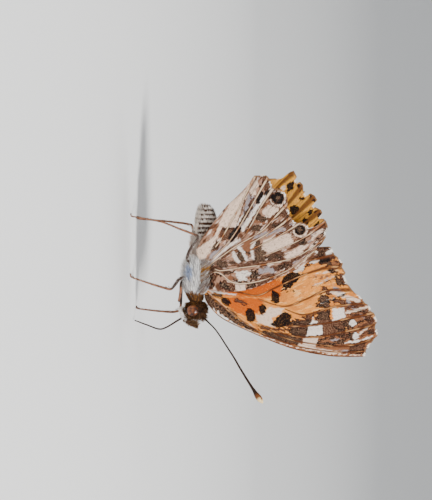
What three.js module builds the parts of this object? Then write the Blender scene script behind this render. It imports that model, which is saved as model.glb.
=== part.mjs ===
import * as THREE from 'three';

// Painted lady at rest with its wings closed over its back.
// Millimetres. +X is the way the head points, +Y the insect's left, +Z up.
// All coordinates below are taken from the middle of the thorax; the last step sets the feet on z = 0.

// Driving sizes
const FLOOR = -10.9;
const WING_THICKNESS = 0.5;
const FOREWING_LAYER = 0.45;
const HINDWING_LAYER = 1.3;
const ROOT_SPREAD = 0.85;
const HINDWING_DRAW_IN = 0.3;
const DRAW_IN_SHARE = 0.12;
const SPREAD_FROM = 6.5;
const SPREAD_TO = 2.0;
const VEIN_RISE = 0.12;
const VEIN_HALF_WIDTH = 0.24;
const WING_STATIONS = 14;
const RING_SIDES = 14;
const LEG_SIDES = 8;
const LEG_RADIUS = 0.3;
const FOOT_CENTRE = FLOOR + 0.13;

const WING_COLOUR = '#b98252';
const BODY_COLOUR = '#8d8278';
const DARK_COLOUR = '#3a2c22';
const EYE_COLOUR = '#5a3a22';
const PALE_COLOUR = '#d9d2c6';

// Basic builders

function meshOf(name, positions, triangles, colour, roughness) {
  const geometry = new THREE.BufferGeometry();
  geometry.setAttribute('position', new THREE.Float32BufferAttribute(positions, 3));
  geometry.setIndex(triangles);
  geometry.computeVertexNormals();
  const material = new THREE.MeshStandardMaterial({ color: colour, roughness });
  const mesh = new THREE.Mesh(geometry, material);
  mesh.name = name;
  return mesh;
}

// Closed skin over a row of rings, with a pole at each end.
function skinOverRings(rings, startPole, endPole) {
  const positions = [];
  const triangles = [];
  const sides = rings[0].length;
  positions.push(...startPole);
  for (const ring of rings) {
    for (const point of ring) {
      positions.push(...point);
    }
  }
  positions.push(...endPole);
  const last = 1 + rings.length * sides;
  for (let s = 0; s < sides; s += 1) {
    const next = (s + 1) % sides;
    triangles.push(0, 1 + next, 1 + s);
    for (let r = 0; r + 1 < rings.length; r += 1) {
      const a = 1 + r * sides + s;
      const b = 1 + r * sides + next;
      const c = a + sides;
      const d = b + sides;
      triangles.push(a, b, c, b, d, c);
    }
    const tail = 1 + (rings.length - 1) * sides;
    triangles.push(last, tail + s, tail + next);
  }
  return { positions, triangles };
}

// Round limb along a smooth path; each station is [x, y, z, radius].
// Nothing of it goes below the floor, so a part laid on the floor gets a flat underside.
function limb(name, stations, steps, colour, sides = LEG_SIDES) {
  const path = new THREE.CatmullRomCurve3(
    stations.map(([x, y, z]) => new THREE.Vector3(x, y, z)),
    false,
    'centripetal',
  );
  const frames = path.computeFrenetFrames(steps, false);
  const rings = [];
  for (let i = 0; i <= steps; i += 1) {
    const centre = path.getPointAt(i / steps);
    const u = path.getUtoTmapping(i / steps) * (stations.length - 1);
    const k = Math.min(Math.floor(u), stations.length - 2);
    const radius = THREE.MathUtils.lerp(stations[k][3], stations[k + 1][3], u - k);
    const ring = [];
    for (let s = 0; s < sides; s += 1) {
      const angle = (2 * Math.PI * s) / sides;
      const point = centre.clone();
      point.addScaledVector(frames.normals[i], radius * Math.cos(angle));
      point.addScaledVector(frames.binormals[i], radius * Math.sin(angle));
      ring.push([point.x, point.y, Math.max(point.z, FLOOR)]);
    }
    rings.push(ring);
  }
  const pole = (i, sign) => {
    const radius = stations[i][3];
    const end = path.getPointAt(i === 0 ? 0 : 1);
    const tangent = frames.tangents[i === 0 ? 0 : steps];
    end.addScaledVector(tangent, sign * radius * 0.6);
    return [end.x, end.y, Math.max(end.z, FLOOR + 0.05)];
  };
  const skin = skinOverRings(rings, pole(0, -1), pole(stations.length - 1, 1));
  return meshOf(name, skin.positions, skin.triangles, colour, 0.7);
}

// Body piece lofted along X; each station is [x, z centre, half width, half height].
function loft(name, stations, steps, colour, sides = RING_SIDES) {
  const curve = new THREE.CatmullRomCurve3(
    stations.map(([x, z, width]) => new THREE.Vector3(x, z, width)),
    false,
    'centripetal',
  );
  const heights = new THREE.CatmullRomCurve3(
    stations.map(([x, z, , height]) => new THREE.Vector3(x, z, height)),
    false,
    'centripetal',
  );
  const rings = [];
  for (let i = 0; i <= steps; i += 1) {
    const at = curve.getPoint(i / steps);
    const height = heights.getPoint(i / steps).z;
    const ring = [];
    for (let s = 0; s < sides; s += 1) {
      const angle = (2 * Math.PI * s) / sides;
      ring.push([at.x, at.z * Math.cos(angle), at.y + height * Math.sin(angle)]);
    }
    rings.push(ring);
  }
  const first = stations[0];
  const last = stations[stations.length - 1];
  const lead = 0.35 * Math.sign(last[0] - first[0]);
  const skin = skinOverRings(
    rings,
    [first[0] - lead * first[3], 0, first[1]],
    [last[0] + lead * last[3], 0, last[1]],
  );
  return meshOf(name, skin.positions, skin.triangles, colour, 0.85);
}

function ellipsoid(name, centre, radii, colour, roughness, around = 14, down = 8) {
  const rings = [];
  for (let i = 1; i < down; i += 1) {
    const tilt = (Math.PI * i) / down;
    const ring = [];
    for (let s = 0; s < around; s += 1) {
      const angle = (2 * Math.PI * s) / around;
      ring.push([
        centre[0] - radii[0] * Math.cos(tilt),
        centre[1] + radii[1] * Math.sin(tilt) * Math.cos(angle),
        centre[2] + radii[2] * Math.sin(tilt) * Math.sin(angle),
      ]);
    }
    rings.push(ring);
  }
  const skin = skinOverRings(
    rings,
    [centre[0] - radii[0], centre[1], centre[2]],
    [centre[0] + radii[0], centre[1], centre[2]],
  );
  return meshOf(name, skin.positions, skin.triangles, colour, roughness);
}

// Wings
// A wing is a row of long lines from its root to its margin: the leading edge, the veins, the
// trailing edge. Every line is [x, z] points. "raised" is the share of the line, from the root,
// at which its ridge begins (above 1: an edge or fold without a ridge). "margin" gives, for each
// cell between two lines, where the three lines inside that cell end.

const FOREWING = {
  layer: FOREWING_LAYER,
  drawIn: 0,
  lines: [
    { raised: 0,
      points: [[3.1, 1.5], [4.9, 2.0], [7.5, 4.5], [10.0, 9.7], [12.7, 16.6], [14.0, 23.2], [14.1, 28.9]] },
    { raised: 0,
      points: [[2.9, 1.7], [5.3, 4.5], [8.3, 8.5], [10.7, 12.8],
        [12.4, 18.0], [13.3, 24.1], [13.2, 29.3]] },
    { raised: 0.45,
      points: [[2.8, 1.7], [4.9, 4.5], [7.8, 9.0], [10.9, 15.4],
        [12.0, 20.6], [12.3, 25.8], [11.0, 30.8]] },
    { raised: 0.45,
      points: [[2.7, 1.7], [4.5, 4.7], [7.1, 9.4], [10.1, 14.9], [10.8, 20.1], [10.0, 25.0], [8.5, 31.0]] },
    { raised: 0.5,
      points: [[2.6, 1.7], [4.1, 4.9], [6.2, 9.4], [8.5, 13.7], [8.9, 18.0], [8.4, 22.4], [6.6, 30.7]] },
    { raised: 0.5,
      points: [[2.5, 1.7], [3.6, 5.0], [4.9, 9.7], [5.8, 15.1], [6.9, 18.8], [5.5, 24.1], [4.9, 29.4]] },
    { raised: 0.36,
      points: [[2.4, 1.7], [3.0, 3.3], [3.6, 6.8], [4.1, 10.2],
        [5.5, 15.1], [4.3, 18.9], [2.8, 22.4], [2.6, 27.0]] },
    { raised: 0,
      points: [[2.3, 1.7], [2.7, 3.5], [2.9, 6.8], [3.6, 10.6],
        [2.3, 13.7], [0.3, 18.0], [-1.2, 22.4], [-1.4, 25.4]] },
    { raised: 0, points: [[2.2, 1.7], [1.6, 5.0], [0.3, 10.2], [-1.6, 16.3], [-2.7, 20.6], [-3.5, 23.9]] },
    { raised: 2, points: [[1.9, 1.5], [0.7, 4.2], [-1.2, 9.4], [-3.6, 16.3], [-4.7, 20.6], [-4.9, 23.1]] },
  ],
  margin: [
    [[14.0, 29.1], [13.8, 29.3], [13.5, 29.4]],
    [[12.9, 29.6], [12.3, 30.0], [11.6, 30.4]],
    [[10.6, 31.4], [9.8, 31.5], [9.1, 31.1]],
    [[8.2, 31.3], [7.5, 31.2], [7.0, 30.9]],
    [[6.2, 30.3], [5.7, 30.4], [5.2, 29.8]],
    [[4.4, 29.0], [3.8, 28.5], [3.2, 27.8]],
    [[1.9, 26.4], [0.8, 26.0], [-0.5, 25.8]],
    [[-1.9, 25.4], [-2.4, 25.2], [-3.0, 24.6]],
    [[-3.9, 23.8], [-4.2, 23.7], [-4.6, 23.5]],
  ],
};

const HINDWING_LINES = [
  { raised: 2,
    points: [[1.2, 1.4], [2.3, 1.9], [2.9, 3.3], [3.0, 6.2],
      [2.3, 10.4], [0.1, 15.4], [-1.4, 18.5], [-3.7, 21.1]] },
  { raised: 0.08,
    points: [[0.5, 1.7], [-0.3, 3.1], [0.0, 4.5], [1.3, 6.2],
      [1.6, 8.5], [0.9, 12.0], [-0.9, 16.3], [-4.2, 20.8]] },
  { raised: 0.08,
    points: [[-0.3, 1.8], [-0.9, 3.1], [-0.6, 4.5], [-1.1, 7.6],
      [-1.6, 11.4], [-2.4, 15.4], [-3.3, 18.0], [-5.9, 22.0]] },
  { raised: 0.45,
    points: [[-0.6, 1.9], [-1.4, 4.2], [-1.9, 7.6], [-3.6, 12.8],
      [-5.1, 16.3], [-6.8, 19.4], [-9.3, 22.4]] },
  { raised: 0.45,
    points: [[-0.8, 1.9], [-2.0, 4.5], [-3.1, 7.6], [-4.5, 10.2],
      [-6.2, 13.7], [-9.2, 18.9], [-11.4, 21.6]] },
  { raised: 0.5,
    points: [[-1.0, 1.9], [-2.4, 4.5], [-4.2, 7.6], [-7.5, 13.2],
      [-8.8, 15.1], [-10.9, 17.5], [-14.0, 20.6]] },
  { raised: 0,
    points: [[-1.1, 1.9], [-2.9, 4.3], [-4.7, 6.8], [-7.5, 11.4],
      [-9.4, 13.2], [-12.4, 15.8], [-15.8, 18.5]] },
  { raised: 0.5,
    points: [[-1.3, 1.8], [-3.1, 4.0], [-6.4, 8.1], [-8.7, 9.7],
      [-11.8, 11.4], [-15.5, 14.0], [-18.4, 17.0]] },
  { raised: 0.1,
    points: [[-1.5, 1.7], [-3.3, 3.6], [-5.5, 5.7], [-8.3, 7.6],
      [-11.4, 9.4], [-14.4, 11.1], [-16.9, 12.5]] },
  { raised: 0.2,
    points: [[-1.7, 1.5], [-3.6, 2.8], [-6.2, 4.5], [-9.2, 6.2],
      [-12.1, 7.8], [-14.7, 9.0], [-17.2, 10.2]] },
  { raised: 2,
    points: [[-1.9, 1.2], [-2.7, 0.6], [-4.0, 0.2], [-5.6, 0.8],
      [-7.4, 2.0], [-9.6, 3.6], [-12.2, 5.7], [-14.6, 8.6]] },
];

// The far wing keeps its toothed margin; the near one is worn back along its rear half.
const HINDWING_LEFT = {
  layer: HINDWING_LAYER,
  drawIn: HINDWING_DRAW_IN,
  lines: HINDWING_LINES,
  margin: [
    [[-3.9, 21.1], [-4.0, 21.0], [-4.1, 20.9]],
    [[-4.6, 20.9], [-4.9, 21.2], [-5.4, 21.7]],
    [[-6.5, 22.5], [-7.3, 22.5], [-8.6, 23.0]],
    [[-9.9, 22.1], [-10.2, 21.4], [-10.8, 21.8]],
    [[-11.9, 20.9], [-12.3, 20.3], [-13.2, 21.0]],
    [[-14.4, 20.0], [-14.0, 19.0], [-14.9, 18.7]],
    [[-16.3, 18.0], [-16.5, 17.2], [-17.2, 17.4]],
    [[-18.2, 16.4], [-17.2, 15.0], [-16.9, 13.6]],
    [[-17.3, 12.0], [-17.4, 11.5], [-17.3, 11.0]],
    [[-16.9, 9.9], [-16.1, 9.4], [-15.3, 9.0]],
  ],
};

const WORN_ENDS = [
  null, null, null, null,
  [-9.0, 18.2],
  [-10.0, 16.5],
  [-12.3, 15.9],
  [-15.1, 13.4],
  null, null, null,
];

const HINDWING_RIGHT = {
  layer: HINDWING_LAYER,
  drawIn: HINDWING_DRAW_IN,
  lines: HINDWING_LINES.map((line, i) => ({ ...line, end: WORN_ENDS[i] })),
  margin: [
    HINDWING_LEFT.margin[0],
    HINDWING_LEFT.margin[1],
    HINDWING_LEFT.margin[2],
    [[-8.4, 20.9], [-8.0, 19.7], [-8.8, 18.9]],
    [[-9.0, 17.7], [-9.2, 17.1], [-9.6, 16.8]],
    [[-10.4, 16.3], [-10.9, 16.2], [-11.6, 16.0]],
    [[-13.3, 15.9], [-14.3, 15.4], [-14.7, 14.6]],
    [[-15.4, 13.2], [-15.8, 13.0], [-16.5, 12.8]],
    [[-17.2, 12.1], [-17.5, 11.6], [-17.1, 11.1]],
    HINDWING_LEFT.margin[9],
  ],
};

function wingLine(line) {
  const curve = new THREE.SplineCurve(line.points.map(([x, z]) => new THREE.Vector2(x, z)));
  let reach = 1;
  let shift = new THREE.Vector2();
  if (line.end) {
    const end = new THREE.Vector2(...line.end);
    let nearest = Infinity;
    for (let i = 20; i <= 80; i += 1) {
      const distance = curve.getPointAt(i / 80).distanceTo(end);
      if (distance < nearest) {
        nearest = distance;
        reach = i / 80;
      }
    }
    shift = end.sub(curve.getPointAt(reach));
  }
  return (t) => curve.getPointAt(t * reach).addScaledVector(shift, t ** 4);
}

function smooth(from, to, value) {
  return THREE.MathUtils.smoothstep((value - from) / (to - from), 0, 1);
}

// Distance of the wing's middle plane from the insect's own middle plane.
function layerAt(layer, z) {
  return layer + ROOT_SPREAD * (1 - smooth(SPREAD_TO, SPREAD_FROM, z));
}

function wing(name, shape, side) {
  const lines = shape.lines.map(wingLine);
  const grid = [];
  for (let i = 0; i <= WING_STATIONS; i += 1) {
    const t = i / WING_STATIONS;
    const row = [];
    lines.forEach((line, k) => {
      const here = line(t);
      const spare = shape.lines[k].raised;
      const rise = VEIN_RISE * smooth(0.05, 0.2, t) * smooth(spare, spare + 0.08, t + 1e-3);
      row.push([here.x, here.y, spare > 1 ? 0 : rise]);
      if (k + 1 === lines.length) {
        return;
      }
      const beyond = lines[k + 1](t);
      const foot = Math.min(0.3, VEIN_HALF_WIDTH / here.distanceTo(beyond));
      const shares = [foot, 0.5, 1 - foot];
      shares.forEach((share, j) => {
        const point = here.clone().lerp(beyond, share);
        const root = line(1).lerp(lines[k + 1](1), share);
        const pull = smooth(0.72, 1, t);
        const target = shape.margin[k][j];
        point.x += pull * (target[0] - root.x);
        point.y += pull * (target[1] - root.y);
        row.push([point.x, point.y, 0]);
      });
    });
    grid.push(row);
  }
  return closedSheet(name, grid, shape, side);
}

// Two faces with the same triangles, joined by a wall around the edge.
function closedSheet(name, grid, shape, side) {
  const rows = grid.length;
  const columns = grid[0].length;
  const positions = [];
  for (const face of [1, -1]) {
    grid.forEach((row, r) => {
      const inward = shape.drawIn * (1 - smooth(0, DRAW_IN_SHARE, r / (rows - 1)));
      for (const [x, z, rise] of row) {
        const half = WING_THICKNESS / 2 + (face > 0 ? rise : 0);
        positions.push(x, side * (layerAt(shape.layer, z) - inward + face * half), z);
      }
    });
  }
  const triangles = [];
  const count = rows * columns;
  const put = (a, b, c) => (side > 0 ? triangles.push(a, c, b) : triangles.push(a, b, c));
  for (let r = 0; r + 1 < rows; r += 1) {
    for (let c = 0; c + 1 < columns; c += 1) {
      const a = r * columns + c;
      const b = a + 1;
      const d = a + columns;
      const e = d + 1;
      put(a, d, b);
      put(b, d, e);
      put(count + a, count + b, count + d);
      put(count + b, count + e, count + d);
    }
  }
  const rim = [];
  for (let c = 0; c + 1 < columns; c += 1) {
    rim.push(c);
  }
  for (let r = 0; r + 1 < rows; r += 1) {
    rim.push(r * columns + columns - 1);
  }
  for (let c = columns - 1; c > 0; c -= 1) {
    rim.push((rows - 1) * columns + c);
  }
  for (let r = rows - 1; r > 0; r -= 1) {
    rim.push(r * columns);
  }
  rim.forEach((a, i) => {
    const b = rim[(i + 1) % rim.length];
    put(a, b, count + a);
    put(b, count + b, count + a);
  });
  return meshOf(name, positions, triangles, WING_COLOUR, 0.8);
}

// Body

function makeBody() {
  return [
    loft('thorax', [
      [-2.9, 0.4, 0.9, 1.1],
      [-1.8, 0.25, 1.4, 1.8],
      [-0.2, 0.05, 1.65, 2.15],
      [1.6, 0.0, 1.6, 2.15],
      [3.0, -0.05, 1.3, 1.75],
      [3.8, -0.1, 0.8, 1.05],
    ], 12, BODY_COLOUR),
    loft('abdomen', [
      [-3.5, 0.7, 0.9, 1.2],
      [-4.6, 0.95, 1.35, 1.8],
      [-6.4, 1.3, 1.45, 1.95],
      [-8.6, 1.65, 1.4, 1.95],
      [-10.4, 1.75, 1.15, 1.6],
      [-11.8, 1.5, 0.75, 1.05],
      [-12.4, 1.35, 0.35, 0.5],
    ].reverse(), 14, BODY_COLOUR),
    ellipsoid('head', [6.1, 0, 0.1], [1.55, 1.05, 1.85], BODY_COLOUR, 0.85, 16, 10),
  ];
}

// Head: eyes, palps, proboscis, antennae

function makeHeadParts(side, label) {
  return [
    ellipsoid(`eye_${label}`, [6.3, side * 1.75, -0.45], [0.95, 0.42, 1.0], EYE_COLOUR, 0.25),
    limb(`palp_${label}`, [
      [6.0, side * 0.5, -2.6, 0.3],
      [7.3, side * 0.55, -2.1, 0.42],
      [8.4, side * 0.55, -0.9, 0.42],
      [8.9, side * 0.5, 0.4, 0.26],
    ], 7, PALE_COLOUR),
    limb(`antenna_${label}`, [
      [7.95, side * 0.7, 1.95, 0.25],
      [9.6, side * 1.2, 3.55, 0.25],
      [12.2, side * 2.0, 5.3, 0.25],
      [14.2, side * 2.6, 6.6, 0.25],
      [16.4, side * 3.2, 7.9, 0.25],
      [18.8, side * 3.8, 9.4, 0.25],
      [20.0, side * 4.1, 10.2, 0.3],
      [21.0, side * 4.35, 10.85, 0.46],
      [21.9, side * 4.6, 11.35, 0.3],
    ], 16, DARK_COLOUR),
  ];
}

function makeProboscis() {
  return limb('proboscis', [
    [7.9, 0, -3.1, 0.25],
    [9.0, 0, -4.9, 0.25],
    [9.4, 0, -6.3, 0.25],
    [8.7, 0, -8.4, 0.25],
    [7.9, 0, -10.5, 0.25],
  ], 10, DARK_COLOUR);
}

// Legs: thigh, knee, shin and foot; the last stretch lies on the floor.

function makeLegs() {
  const r = LEG_RADIUS;
  const foreleg = (side, label) => limb(`foreleg_${label}`, [
    [1.4, side * 0.55, -2.62, 0.25],
    [3.0, side * 0.6, -2.62, 0.27],
    [4.6, side * 0.6, -2.95, 0.25],
  ], 5, BODY_COLOUR);
  return [
    foreleg(1, 'left'),
    foreleg(-1, 'right'),
    limb('midleg_right', [
      [0.5, -1.35, -2.55, r],
      [1.7, -2.4, -3.3, r],
      [2.7, -3.1, -4.1, r],
      [2.45, -3.5, -5.4, 0.28],
      [2.0, -4.0, -7.0, 0.28],
      [1.4, -4.6, -8.9, 0.26],
      [1.0, -5.1, -10.2, 0.26],
      [0.7, -5.6, FOOT_CENTRE, 0.26],
      [0.3, -6.6, FOOT_CENTRE, 0.26],
    ], 18, DARK_COLOUR),
    limb('midleg_left', [
      [0.6, 1.35, -2.55, r],
      [3.2, 2.2, -2.7, r],
      [5.6, 2.9, -2.9, r],
      [6.2, 3.3, -3.9, 0.28],
      [6.1, 3.8, -6.2, 0.28],
      [5.8, 4.4, -8.8, 0.26],
      [5.6, 4.8, -10.2, 0.26],
      [5.4, 5.3, FOOT_CENTRE, 0.26],
      [5.0, 6.3, FOOT_CENTRE, 0.26],
    ], 18, DARK_COLOUR),
    limb('hindleg_right', [
      [-2.6, -1.55, -1.45, r],
      [-4.3, -2.3, -0.85, r],
      [-6.3, -2.7, 0.55, r],
      [-6.9, -3.0, -0.5, 0.28],
      [-7.7, -3.5, -2.7, 0.28],
      [-8.8, -4.1, -5.6, 0.26],
      [-9.5, -4.7, -9.4, 0.26],
      [-9.7, -5.2, FOOT_CENTRE, 0.26],
      [-10.0, -6.3, FOOT_CENTRE, 0.26],
    ], 20, DARK_COLOUR),
    limb('hindleg_left', [
      [-2.6, 1.55, -1.45, r],
      [-5.4, 2.4, -0.9, r],
      [-8.6, 3.0, -0.8, r],
      [-9.2, 3.3, -1.8, 0.28],
      [-9.6, 3.8, -4.4, 0.28],
      [-10.0, 4.4, -7.6, 0.26],
      [-10.2, 4.8, -10.1, 0.26],
      [-10.4, 5.3, FOOT_CENTRE, 0.26],
      [-10.8, 6.3, FOOT_CENTRE, 0.26],
    ], 20, DARK_COLOUR),
  ];
}

// Assembly

const group = new THREE.Group();
group.name = 'painted_lady';
group.add(...makeBody());
group.add(...makeHeadParts(1, 'left'));
group.add(...makeHeadParts(-1, 'right'));
group.add(makeProboscis());
group.add(wing('forewing_left', FOREWING, 1));
group.add(wing('forewing_right', FOREWING, -1));
group.add(wing('hindwing_left', HINDWING_LEFT, 1));
group.add(wing('hindwing_right', HINDWING_RIGHT, -1));
group.add(...makeLegs());

const box = new THREE.Box3().setFromObject(group);
for (const mesh of group.children) {
  mesh.geometry.translate(-(box.min.x + box.max.x) / 2, -(box.min.y + box.max.y) / 2, -box.min.z);
}

export default group;
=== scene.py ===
import math
import random
import bmesh
import bpy
import numpy as np
from mathutils import Matrix, Vector


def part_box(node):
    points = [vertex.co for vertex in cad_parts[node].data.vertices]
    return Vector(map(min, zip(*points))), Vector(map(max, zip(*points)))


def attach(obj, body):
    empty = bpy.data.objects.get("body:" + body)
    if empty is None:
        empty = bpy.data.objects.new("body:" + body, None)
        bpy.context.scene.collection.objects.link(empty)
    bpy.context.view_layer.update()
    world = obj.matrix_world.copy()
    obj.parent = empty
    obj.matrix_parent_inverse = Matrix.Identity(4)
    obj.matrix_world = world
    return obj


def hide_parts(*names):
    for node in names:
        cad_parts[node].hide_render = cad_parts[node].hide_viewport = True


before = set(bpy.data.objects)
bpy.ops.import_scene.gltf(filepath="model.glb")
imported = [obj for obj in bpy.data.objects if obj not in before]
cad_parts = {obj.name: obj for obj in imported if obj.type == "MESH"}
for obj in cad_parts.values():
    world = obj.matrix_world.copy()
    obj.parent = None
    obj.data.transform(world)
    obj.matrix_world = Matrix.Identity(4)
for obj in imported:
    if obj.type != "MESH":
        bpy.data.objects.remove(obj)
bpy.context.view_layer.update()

# Studio: camera, floor and lamps.
# The insect stands on a pale floor that sweeps up behind it. The camera is rolled with it, so that in
# the picture its head points down and its wings point right. The studio is given in metres and the
# insect in millimetres, tied to the frame by its right eye.
MM = 1000
EYE_CENTRE = (6.3, -1.75, -0.45)
eye_low, eye_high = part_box("eye_right")
SHIFT = [MM / 2 * (eye_low[i] + eye_high[i]) - EYE_CENTRE[i] for i in range(3)]


def place(x, y, z):
    """A point given in millimetres from the middle of the thorax, in the shared frame, in metres."""
    return Vector(((x + SHIFT[0]) / MM, (y + SHIFT[1]) / MM, (z + SHIFT[2]) / MM))


def colour(text):
    """A linear colour from a usual six-digit one."""
    parts = [int(text[i:i + 2], 16) / 255 for i in (0, 2, 4)]
    return tuple(c / 12.92 if c < 0.04045 else ((c + 0.055) / 1.055) ** 2.4 for c in parts) + (1.0,)


def put(name, data):
    """An object of the scene, at the origin."""
    made = bpy.data.objects.new(name, data)
    bpy.context.collection.objects.link(made)
    return made


CAMERA_AIM = (-4.33, 0, 3.47)
CAMERA_TURN = math.radians(5)
CAMERA_RISE = math.radians(3.4)
CAMERA_DISTANCE = 0.42
SENSOR_HEIGHT = 24
FRAME_HEIGHT = 0.08666
towards = Vector((-math.sin(CAMERA_TURN) * math.cos(CAMERA_RISE),
                  math.cos(CAMERA_TURN) * math.cos(CAMERA_RISE), -math.sin(CAMERA_RISE)))
picture_right = (Vector((0, 0, 1)) - towards * towards.z).normalized()
camera_data = bpy.data.cameras.new("camera")
camera_data.sensor_fit = "VERTICAL"
camera_data.sensor_height = SENSOR_HEIGHT
camera_data.lens = SENSOR_HEIGHT * CAMERA_DISTANCE / FRAME_HEIGHT
camera_data.clip_start = 0.01
camera = put("camera", camera_data)
camera.matrix_world = Matrix((
    (*picture_right, 0), (*picture_right.cross(towards), 0), (*(-towards), 0), (0, 0, 0, 1))).transposed()
camera.location = place(*CAMERA_AIM) - towards * CAMERA_DISTANCE
bpy.context.scene.camera = camera

FLOOR_PROFILE = [(-1.2, 0), (0.5, 0), (0.9, 0.05), (1.2, 0.25), (1.35, 0.6), (1.4, 1.6)]
FLOOR_HALF_WIDTH = 2
sweep = bmesh.new()
bmesh.ops.create_grid(sweep, x_segments=1, y_segments=len(FLOOR_PROFILE) - 1, size=1)
for vertex in sweep.verts:
    step = round((vertex.co.y + 1) / 2 * (len(FLOOR_PROFILE) - 1))
    vertex.co = (vertex.co.x * FLOOR_HALF_WIDTH, *FLOOR_PROFILE[step])
for face in sweep.faces:
    face.smooth = True
floor_data = bpy.data.meshes.new("floor")
sweep.to_mesh(floor_data)
floor = put("floor", floor_data)
floor_material = bpy.data.materials.new("floor")
floor_material.use_nodes = True
floor_shader = floor_material.node_tree.nodes["Principled BSDF"]
floor_shader.inputs["Base Color"].default_value = colour("E2E1DE")
floor_shader.inputs["Roughness"].default_value = 0.9
floor_data.materials.append(floor_material)

LAMP_AIM = Vector((0, 0, 0.02))
LAMPS = [("key", (0.32, -0.42, 0.6), 0.18, 10.5), ("fill", (-0.5, -0.45, 0.25), 0.6, 1.1),
         ("back", (0.1, 0.5, 0.6), 0.4, 3.0)]
for lamp_name, at, size, power in LAMPS:
    lamp_data = bpy.data.lights.new(lamp_name, "AREA")
    lamp_data.size = size
    lamp_data.energy = power
    lamp = put(lamp_name, lamp_data)
    lamp.location = at
    lamp.rotation_euler = (LAMP_AIM - Vector(at)).to_track_quat("-Z", "Y").to_euler()
SKY_COLOUR = (0.8, 0.88, 1.0, 1)
SKY_STRENGTH = 0.34
world = bpy.data.worlds.new("world")
world.use_nodes = True
sky = world.node_tree.nodes["Background"]
sky.inputs["Color"].default_value = SKY_COLOUR
sky.inputs["Strength"].default_value = SKY_STRENGTH
bpy.context.scene.world = world

# Forewings.
# Each is a sheet a few hundredths of a millimetre thick, tiled with scales and held stiff by hollow
# veins that fan out from its root. It is a fan of long lines given as (x, z) from root to margin, with
# three points of the margin between two lines; a line is raised as a vein from a share of its length.
SIDES = ((1, "left"), (-1, "right"))
FORE_LAYER = 0.45
FORE_ROOT_DRAW = 0.6
FORE_LINES = [
    (0, [(3.1, 1.5), (4.9, 2.0), (7.5, 4.5), (10.0, 9.7), (12.7, 16.6), (14.0, 23.2), (14.1, 28.9)]),
    (0, [(2.9, 1.7), (5.3, 4.5), (8.3, 8.5), (10.7, 12.8), (12.4, 18.0), (13.3, 24.1), (13.2, 29.3)]),
    (0.45, [(2.8, 1.7), (4.9, 4.5), (7.8, 9.0), (10.9, 15.4), (12.0, 20.6), (12.3, 25.8), (11.0, 30.8)]),
    (0.45, [(2.7, 1.7), (4.5, 4.7), (7.1, 9.4), (10.1, 14.9), (10.8, 20.1), (10.0, 25.0), (8.5, 31.0)]),
    (0.5, [(2.6, 1.7), (4.1, 4.9), (6.2, 9.4), (8.5, 13.7), (8.9, 18.0), (8.4, 22.4), (6.6, 30.7)]),
    (0.5, [(2.5, 1.7), (3.6, 5.0), (4.9, 9.7), (5.8, 15.1), (6.9, 18.8), (5.5, 24.1), (4.9, 29.4)]),
    (0.36, [(2.4, 1.7), (3.0, 3.3), (3.6, 6.8), (4.1, 10.2), (5.5, 15.1), (4.3, 18.9), (2.8, 22.4),
            (2.6, 27.0)]),
    (0, [(2.3, 1.7), (2.7, 3.5), (2.9, 6.8), (3.6, 10.6), (2.3, 13.7), (0.3, 18.0), (-1.2, 22.4),
         (-1.4, 25.4)]),
    (0, [(2.2, 1.7), (1.6, 5.0), (0.3, 10.2), (-1.6, 16.3), (-2.7, 20.6), (-3.5, 23.9)]),
    (2, [(1.9, 1.5), (0.7, 4.2), (-1.2, 9.4), (-3.6, 16.3), (-4.7, 20.6), (-4.9, 23.1)]),
]
FORE_MARGIN = [
    [(14.0, 29.1), (13.8, 29.3), (13.5, 29.4)], [(12.9, 29.6), (12.3, 30.0), (11.6, 30.4)],
    [(10.6, 31.4), (9.8, 31.5), (9.1, 31.1)], [(8.2, 31.3), (7.5, 31.2), (7.0, 30.9)],
    [(6.2, 30.3), (5.7, 30.4), (5.2, 29.8)], [(4.4, 29.0), (3.8, 28.5), (3.2, 27.8)],
    [(1.9, 26.4), (0.8, 26.0), (-0.5, 25.8)], [(-1.9, 25.4), (-2.4, 25.2), (-3.0, 24.6)],
    [(-3.9, 23.8), (-4.2, 23.7), (-4.6, 23.5)],
]
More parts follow.
